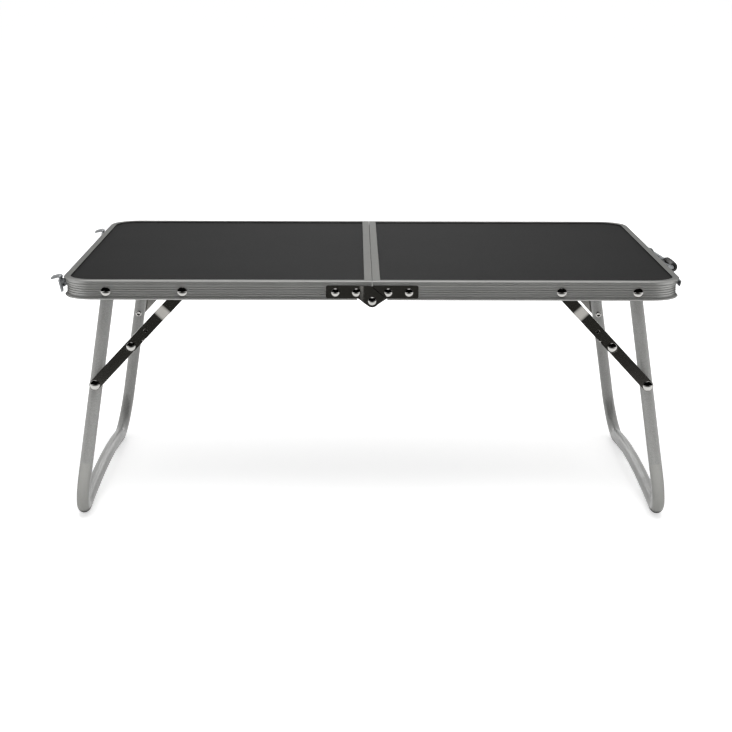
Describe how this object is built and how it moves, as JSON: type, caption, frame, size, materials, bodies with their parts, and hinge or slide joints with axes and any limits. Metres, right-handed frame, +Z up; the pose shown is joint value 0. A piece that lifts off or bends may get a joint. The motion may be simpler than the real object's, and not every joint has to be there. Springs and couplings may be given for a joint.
{
  "type": "folding bivvy table",
  "caption": "Low folding table with a two-part hinged top in a rounded metal rail, fold-down U legs on jointed stays, end latches and a carry handle.",
  "frame": {"origin": "centre of the footprint on the ground, under the middle of the overall box", "axes": "+X along the length towards the carry handle, +Y towards the back, +Z up"},
  "size_m": [0.6434, 0.4062, 0.2508],
  "materials": {
    "satin_aluminium": "satin",
    "dark_laminate": "matt dark laminate",
    "silver_lacquer": "silver lacquer",
    "polished_steel": "polished",
    "bright_rivet": "bright",
    "zinc_fitting": "zinc plated",
    "black_plastic": "satin",
    "dark_rubber": "matt"
  },
  "bodies": {
    "left_half": {"hinge_pin_back": "bright_rivet", "hinge_pin_front": "bright_rivet", "hinge_plate_left_back": "polished_steel", "hinge_plate_left_front": "polished_steel", "hinge_rivet_left_back_inner": "bright_rivet", "hinge_rivet_left_back_outer": "bright_rivet", "hinge_rivet_left_front_inner": "bright_rivet", "hinge_rivet_left_front_outer": "bright_rivet", "latch_bracket_back": "zinc_fitting", "latch_bracket_front": "zinc_fitting", "left_panel": "dark_laminate", "left_rail": "satin_aluminium", "left_trim": "satin_aluminium", "leg_rivet_left_back": "bright_rivet", "leg_rivet_left_front": "bright_rivet", "stay_rivet_left_back": "bright_rivet", "stay_rivet_left_front": "bright_rivet"},
    "right_half": {"catch_back": "zinc_fitting", "catch_front": "zinc_fitting", "handle_bracket_back": "zinc_fitting", "handle_bracket_front": "zinc_fitting", "hinge_plate_right_back": "polished_steel", "hinge_plate_right_front": "polished_steel", "hinge_rivet_right_back_inner": "bright_rivet", "hinge_rivet_right_back_outer": "bright_rivet", "hinge_rivet_right_front_inner": "bright_rivet", "hinge_rivet_right_front_outer": "bright_rivet", "leg_rivet_right_back": "bright_rivet", "leg_rivet_right_front": "bright_rivet", "right_panel": "dark_laminate", "right_rail": "satin_aluminium", "right_trim": "satin_aluminium", "stay_rivet_right_back": "bright_rivet", "stay_rivet_right_front": "bright_rivet"},
    "leg_left": {"foot_pad_left_back": "dark_rubber", "foot_pad_left_front": "dark_rubber", "left_leg": "silver_lacquer", "leg_stay_rivet_left_back": "bright_rivet", "leg_stay_rivet_left_front": "bright_rivet"},
    "leg_right": {"foot_pad_right_back": "dark_rubber", "foot_pad_right_front": "dark_rubber", "leg_stay_rivet_right_back": "bright_rivet", "leg_stay_rivet_right_front": "bright_rivet", "right_leg": "silver_lacquer"},
    "stay_upper_left_front": {"middle_rivet_left_front": "bright_rivet", "upper_stay_left_front": "polished_steel"},
    "stay_lower_left_front": {"lower_stay_left_front": "polished_steel"},
    "stay_upper_left_back": {"middle_rivet_left_back": "bright_rivet", "upper_stay_left_back": "polished_steel"},
    "stay_lower_left_back": {"lower_stay_left_back": "polished_steel"},
    "stay_upper_right_front": {"middle_rivet_right_front": "bright_rivet", "upper_stay_right_front": "polished_steel"},
    "stay_lower_right_front": {"lower_stay_right_front": "polished_steel"},
    "stay_upper_right_back": {"middle_rivet_right_back": "bright_rivet", "upper_stay_right_back": "polished_steel"},
    "stay_lower_right_back": {"lower_stay_right_back": "polished_steel"},
    "latch_front": {"latch_lever_front": "zinc_fitting"},
    "latch_back": {"latch_lever_back": "zinc_fitting"},
    "handle": {"handle_bail": "zinc_fitting", "handle_grip": "black_plastic"}
  },
  "joints": [
    {"name": "centre_fold", "type": "hinge", "parent": "left_half", "child": "right_half", "pos_m": [-0.00625, 0, 0.2316], "axis": [0, 1, 0], "range_deg": [0, 90]},
    {"name": "leg_left_fold", "type": "hinge", "parent": "left_half", "child": "leg_left", "pos_m": [-0.26225, 0, 0.2396], "axis": [0, -1, 0], "range_deg": [0, 98.3]},
    {"name": "upper_left_front_fold", "type": "hinge", "parent": "left_half", "child": "stay_upper_left_front", "pos_m": [-0.18875, 0, 0.2396], "axis": [0, -1, 0], "range_deg": [0, 133.01]},
    {"name": "lower_left_front_fold", "type": "hinge", "parent": "leg_left", "child": "stay_lower_left_front", "pos_m": [-0.27666, 0, 0.14519], "axis": [0, -1, 0], "range_deg": [-145.77, 0]},
    {"name": "upper_left_back_fold", "type": "hinge", "parent": "left_half", "child": "stay_upper_left_back", "pos_m": [-0.18875, 0, 0.2396], "axis": [0, -1, 0], "range_deg": [0, 133.01]},
    {"name": "lower_left_back_fold", "type": "hinge", "parent": "leg_left", "child": "stay_lower_left_back", "pos_m": [-0.27666, 0, 0.14519], "axis": [0, -1, 0], "range_deg": [-145.77, 0]},
    {"name": "leg_right_fold", "type": "hinge", "parent": "right_half", "child": "leg_right", "pos_m": [0.24975, 0, 0.2396], "axis": [0, 1, 0], "range_deg": [0, 98.3]},
    {"name": "upper_right_front_fold", "type": "hinge", "parent": "right_half", "child": "stay_upper_right_front", "pos_m": [0.17625, 0, 0.2396], "axis": [0, 1, 0], "range_deg": [0, 133.01]},
    {"name": "lower_right_front_fold", "type": "hinge", "parent": "leg_right", "child": "stay_lower_right_front", "pos_m": [0.26416, 0, 0.14519], "axis": [0, 1, 0], "range_deg": [-145.77, 0]},
    {"name": "upper_right_back_fold", "type": "hinge", "parent": "right_half", "child": "stay_upper_right_back", "pos_m": [0.17625, 0, 0.2396], "axis": [0, 1, 0], "range_deg": [0, 133.01]},
    {"name": "lower_right_back_fold", "type": "hinge", "parent": "leg_right", "child": "stay_lower_right_back", "pos_m": [0.26416, 0, 0.14519], "axis": [0, 1, 0], "range_deg": [-145.77, 0]},
    {"name": "latch_front_swing", "type": "hinge", "parent": "left_half", "child": "latch_front", "pos_m": [-0.30925, -0.15, 0.239], "axis": [0, 1, 0], "range_deg": [0, 20]},
    {"name": "latch_back_swing", "type": "hinge", "parent": "left_half", "child": "latch_back", "pos_m": [-0.30925, 0.15, 0.239], "axis": [0, 1, 0], "range_deg": [0, 20]},
    {"name": "handle_swing", "type": "hinge", "parent": "right_half", "child": "handle", "pos_m": [0.29835, 0, 0.2422], "axis": [0, -1, 0], "range_deg": [0, 100]}
  ],
  "couplings": [
    {"joint": "upper_left_front_fold", "follows": "leg_left_fold", "ratio": 1.3474},
    {"joint": "lower_left_front_fold", "follows": "leg_left_fold", "ratio": -1.4767},
    {"joint": "upper_left_back_fold", "follows": "leg_left_fold", "ratio": 1.3474},
    {"joint": "lower_left_back_fold", "follows": "leg_left_fold", "ratio": -1.4767},
    {"joint": "upper_right_front_fold", "follows": "leg_right_fold", "ratio": 1.3474},
    {"joint": "lower_right_front_fold", "follows": "leg_right_fold", "ratio": -1.4767},
    {"joint": "upper_right_back_fold", "follows": "leg_right_fold", "ratio": 1.3474},
    {"joint": "lower_right_back_fold", "follows": "leg_right_fold", "ratio": -1.4767}
  ]
}
